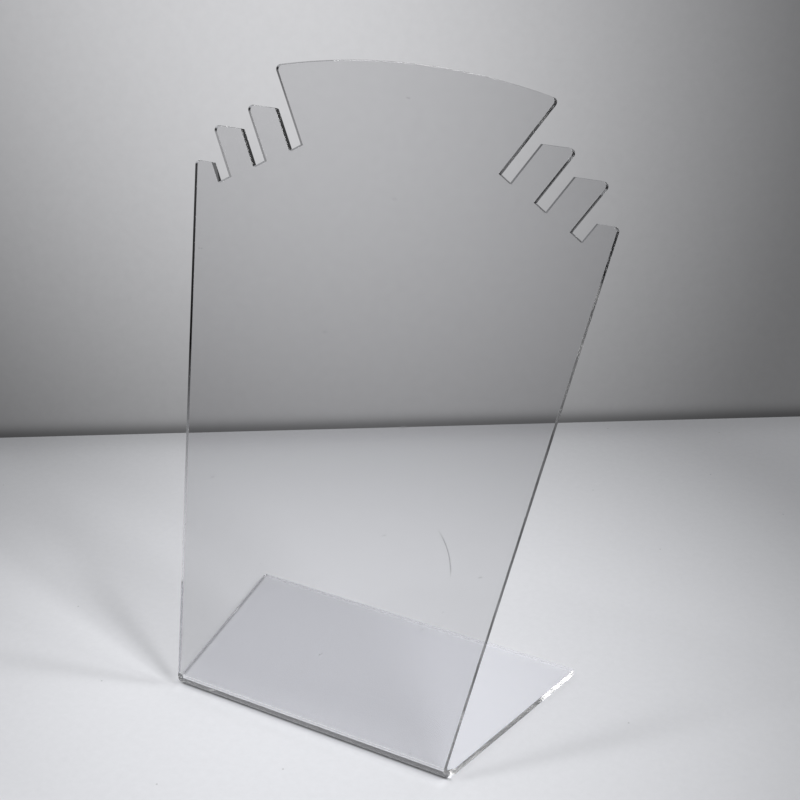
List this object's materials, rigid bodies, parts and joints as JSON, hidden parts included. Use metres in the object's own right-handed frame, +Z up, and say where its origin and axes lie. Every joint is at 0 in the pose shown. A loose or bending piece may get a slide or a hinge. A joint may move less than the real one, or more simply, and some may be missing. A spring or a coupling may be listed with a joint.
{
  "type": "acrylic jewelry display stand",
  "caption": "Clear acrylic necklace stand folded from a flat sheet: a bust-shaped panel with slotted shoulders and a fan-shaped top leans back over a flat foot.",
  "frame": {"origin": "middle of the foot from the front of the fold to its back edge and from side to side, on the surface that it stands on", "axes": "+Z up, +X to the right as seen from the front, +Y back from the fold along the foot"},
  "size_m": [0.2186, 0.1067, 0.2992],
  "materials": {
    "clear_acrylic": "clear and polished, with cut edges"
  },
  "bodies": {
    "root": {"stand": "clear_acrylic"}
  },
  "joints": []
}
